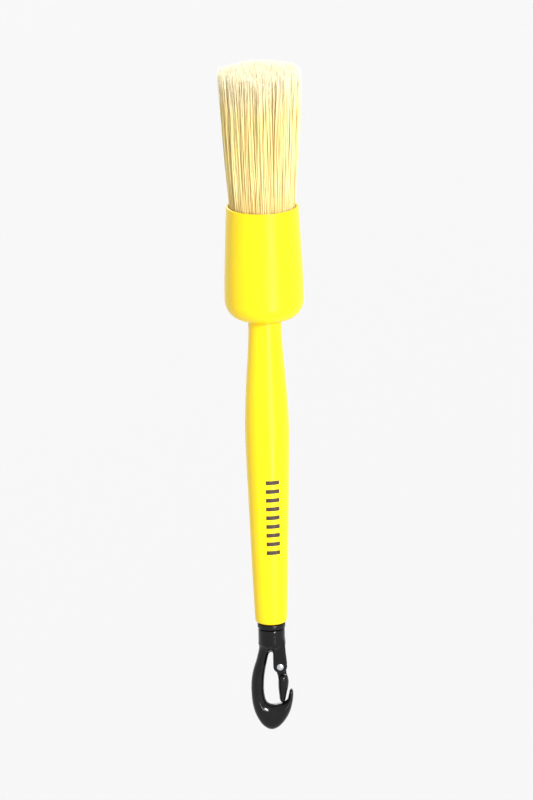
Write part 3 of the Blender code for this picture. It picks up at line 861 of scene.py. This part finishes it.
MEAN_SHADE, CLUMP_SHADE, HAIR_SHADE = 0.55, 0.10, 0.19
SHADE_LIMITS = (0.02, 0.98)
GOLDEN_ANGLE = math.pi * (3 - math.sqrt(5))


def sunflower(count, radius):
    """Evenly spread places in a disc."""
    number = np.arange(count) + 0.5
    reach = radius * np.sqrt(number / count)
    turn = number * GOLDEN_ANGLE
    return np.stack([reach * np.cos(turn), reach * np.sin(turn)], 1)


def hair_paths(rng):
    """Centre lines of all hairs, as (hair, station, xyz), from the resin to the tips."""
    roots = sunflower(HAIR_COUNT, PACK_R) + rng.normal(0, ROOT_SCATTER, (HAIR_COUNT, 2))
    size = np.hypot(*roots.T)
    roots *= np.minimum(1, PACK_R / size)[:, None]
    centres = sunflower(CLUMPS, PACK_R * 0.98) + rng.normal(0, CLUMP_SCATTER, (CLUMPS, 2))
    clump = np.argmin(((roots[:, None] - centres) ** 2).sum(2), 1)
    pull = rng.uniform(0.0, MOST_PULL, CLUMPS)[clump] * rng.uniform(*PULL_SPREAD, HAIR_COUNT)
    sway = rng.normal(0, CLUMP_SWAY, (CLUMPS, 2))[clump]
    stray = rng.normal(0, HAIR_STRAY, (HAIR_COUNT, 2))
    bow = rng.normal(0, HAIR_BOW, (HAIR_COUNT, 2))
    wild = rng.random(HAIR_COUNT) < WILD_SHARE
    stray[wild] += roots[wild] / PACK_R * rng.uniform(*WILD_REACH, (wild.sum(), 1))
    rim = np.hypot(*roots.T) / PACK_R
    trim = rng.exponential(MEAN_TRIM, HAIR_COUNT) + rng.normal(0, CLUMP_TRIM, CLUMPS)[clump]
    tip = TIP_Z - TIP_DROP * rim**2 - np.clip(trim, *TRIM_LIMITS)
    fixed = np.array(FIXED_STATIONS)
    free = np.linspace(0, 1, FREE_STATIONS + 1)[1:]
    heights = np.concatenate(
        [np.repeat(fixed[None], HAIR_COUNT, 0), MOUTH_Z + free * (tip - MOUTH_Z)[:, None]], 1
    )
    t = np.clip((heights - MOUTH_Z) / (TIP_Z - MOUTH_Z), 0, 1)[..., None]
    waist = np.interp(heights, fixed, FIXED_SPREAD)
    home = roots[:, None] * (waist[..., None] + (FLARE - 1) * t**0.95)
    gather = centres[clump][:, None] * (1 + (FLARE - 1) * t)
    across = home + (gather - home) * pull[:, None, None] * t**1.3
    across += sway[:, None] * t**1.5 + stray[:, None] * t**2 + bow[:, None] * np.sin(math.pi * t)
    return np.concatenate([across, heights[..., None]], 2), clump


def make_hairs(paths, shade, name, material):
    """Three-sided tapering hairs round their centre lines, each a strip of the hair map."""
    rng = np.random.default_rng(len(paths))
    hairs, stations, _ = paths.shape
    turn = rng.uniform(0, 2 * math.pi, hairs)[:, None, None]
    turn = turn + (np.arange(3) * 2 * math.pi / 3)[None, None]
    along = (paths[..., 2] - paths[:, :1, 2]) / (paths[:, -1:, 2] - paths[:, :1, 2])
    thick = rng.uniform(*THICKNESS_SPREAD, hairs)[:, None]
    radius = thick * np.interp(along, TAPER_AT, TAPER_R)
    ring = np.stack([np.cos(turn), np.sin(turn), np.zeros_like(turn)], -1)
    points = paths[:, :, None] + ring * radius[..., None, None]
    first = np.arange(hairs)[:, None, None] * stations * 3
    row = np.arange(stations - 1)[None, :, None] * 3
    side = np.arange(3)[None, None]
    other = (side + 1) % 3
    quads = np.stack(
        [first + row + side, first + row + other, first + row + 3 + other, first + row + 3 + side],
        -1,
    ).reshape(-1, 4)
    base = first.reshape(-1, 1)
    feet = base + np.array([2, 1, 0])
    tips = base + (stations - 1) * 3 + np.array([0, 1, 2])
    mesh = bpy.data.meshes.new(name)
    corners = np.concatenate([quads.ravel(), feet.ravel(), tips.ravel()])
    sizes = np.concatenate([np.full(len(quads), 4), np.full(2 * hairs, 3)])
    mesh.vertices.add(hairs * stations * 3)
    mesh.vertices.foreach_set("co", (points * MM).astype(np.float32).ravel())
    mesh.loops.add(len(corners))
    mesh.loops.foreach_set("vertex_index", corners.astype(np.int32))
    mesh.polygons.add(len(sizes))
    mesh.polygons.foreach_set("loop_start", (np.cumsum(sizes) - sizes).astype(np.int32))
    mesh.update(calc_edges=True)
    strip = np.repeat(shade, stations * 3)[corners] + STRIP_HALF_WIDTH * (corners % 3 - 1)
    level = np.repeat(along.ravel(), 3)[corners]
    places = mesh.uv_layers.new(name=HAIR_MAP)
    places.data.foreach_set("uv", np.stack([strip, level], 1).astype(np.float32).ravel())
    mesh.shade_smooth()
    mesh.materials.append(material)
    piece = bpy.data.objects.new(name, mesh)
    bpy.context.scene.collection.objects.link(piece)
    return piece


def make_bristles(material):
    """The whole pack of hair, in an inner and an outer piece, bending from the mouth to the tips."""
    rng = np.random.default_rng(SEED)
    paths, clump = hair_paths(rng)
    clump_shade = rng.normal(0, CLUMP_SHADE, CLUMPS)[clump]
    shade = MEAN_SHADE + clump_shade + rng.normal(0, HAIR_SHADE, HAIR_COUNT)
    shade = np.clip(shade, *SHADE_LIMITS)
    half = HAIR_COUNT // 2
    for name, part, nodes in (
        ("bristles_inner", slice(0, half), LOCKS[:7] + ["bristle_roots"]),
        ("bristles_outer", slice(half, HAIR_COUNT), LOCKS[7:]),
    ):
        piece = make_hairs(paths[part], shade[part], name, material)
        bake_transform(piece)
        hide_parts(*nodes)


# ---------------------------------------------------------------- stage


LENS = 400.0
FILL = 0.86  # share of the picture's height that the brush takes
ELEVATION = math.radians(16.6)
LEAN = math.radians(1.25)
SENSOR = 36.0
MIDDLE = (Vector(CAD_BOX[0]) + Vector(CAD_BOX[1])) / 2
FLOOR_DROP = 0.35  # the brush hangs this high over the floor
FLOOR_REACH = 30.0
FLOOR_GREY = 0.52
WORLD_LIGHT = 0.90
CAMERA_REACH = 100.0  # metres
LAMPS = [  # name, kind, from where, power, settings
    ("key", "SUN", (1.5, -2.6, 1.4), 3.9, {"angle": math.radians(14)}),
    ("back", "SUN", (-0.8, 2.2, 1.3), 1.8, {"angle": math.radians(30)}),
    (
        "strip", "AREA", (0.13, -0.28, -0.055), 0.32,
        {"shape": "RECTANGLE", "size": 0.022, "size_y": 0.2},
    ),
]


def make_camera():
    """Long lens at the viewing angle, from the front and above."""
    size = Vector(CAD_BOX[1]) - Vector(CAD_BOX[0])
    seen = size.z * math.cos(ELEVATION) + size.y * math.sin(ELEVATION)
    distance = seen / FILL * LENS / SENSOR
    camera = bpy.data.cameras.new("camera")
    camera.lens = LENS
    camera.sensor_width = SENSOR
    camera.clip_end = CAMERA_REACH
    holder = bpy.data.objects.new("camera", camera)
    bpy.context.scene.collection.objects.link(holder)
    away = Vector((0.0, -math.cos(ELEVATION), math.sin(ELEVATION)))
    holder.location = MIDDLE + away * distance
    holder.rotation_euler = (
        (-away).to_track_quat("-Z", "Y").to_matrix() @ Matrix.Rotation(-LEAN, 3, "Z")
    ).to_euler()
    bpy.context.scene.camera = holder


def make_light(name, kind, away, power, settings):
    """Lamp that shines on the brush's middle from a direction or, for a soft box, a place."""
    light = bpy.data.lights.new(name, kind)
    light.energy = power
    for key, value in settings.items():
        setattr(light, key, value)
    holder = bpy.data.objects.new(name, light)
    bpy.context.scene.collection.objects.link(holder)
    holder.location = MIDDLE + Vector(away)
    holder.rotation_euler = Vector(away).to_track_quat("Z", "Y").to_euler()
    holder.visible_camera = False


def make_world():
    """Even pale light from all round, near the floor's own brightness."""
    world = bpy.data.worlds.new("studio")
    world.use_nodes = True
    background = next(n for n in world.node_tree.nodes if n.type == "BACKGROUND")
    background.inputs["Color"].default_value = (1.0, 1.0, 1.0, 1.0)
    background.inputs["Strength"].default_value = WORLD_LIGHT
    bpy.context.scene.world = world


def make_stage():
    """Pale floor well below the hanging brush, and soft lights."""
    floor_z = CAD_BOX[0][2] - FLOOR_DROP
    corners = [(-1, -1), (1, -1), (1, 1), (-1, 1)]
    paint = Nodes("pale floor")
    paint.set(Base_Color=(FLOOR_GREY, FLOOR_GREY, FLOOR_GREY, 1.0), Roughness=0.9)
    floor = new_piece(
        "floor",
        np.array([(x * FLOOR_REACH, y * FLOOR_REACH, floor_z) for x, y in corners]) / MM,
        [[0, 1, 2, 3]],
        paint.material,
    )
    make_world()
    for lamp in LAMPS:
        make_light(*lamp)
    bpy.context.scene.view_settings.view_transform = "Standard"
    bpy.context.scene.view_settings.look = "None"


def repaint(material, *names):
    """Gives CAD nodes that stay visible their finished material."""
    for name in names:
        for place in frame["nodes"][name].material_slots:
            place.material = material


make_camera()
make_stage()
yellow = yellow_plastic()
gloss_black = black_plastic("black gloss plastic", 0.10, 0.24)
satin_black = black_plastic("black satin plastic", 0.22, 0.36)
steel = bright_steel()
make_cup(yellow)
make_handle(yellow)
make_print(printed_ink())
make_bush(satin_black)
make_hook(gloss_black)
make_gate(gloss_black)
make_rivet(steel)
make_bristles(natural_bristle())
repaint(steel, "shank_clip", "gate_spring")
repaint(cast_resin(), "resin_plug")
repaint(binding_rubber(), "knot_band")
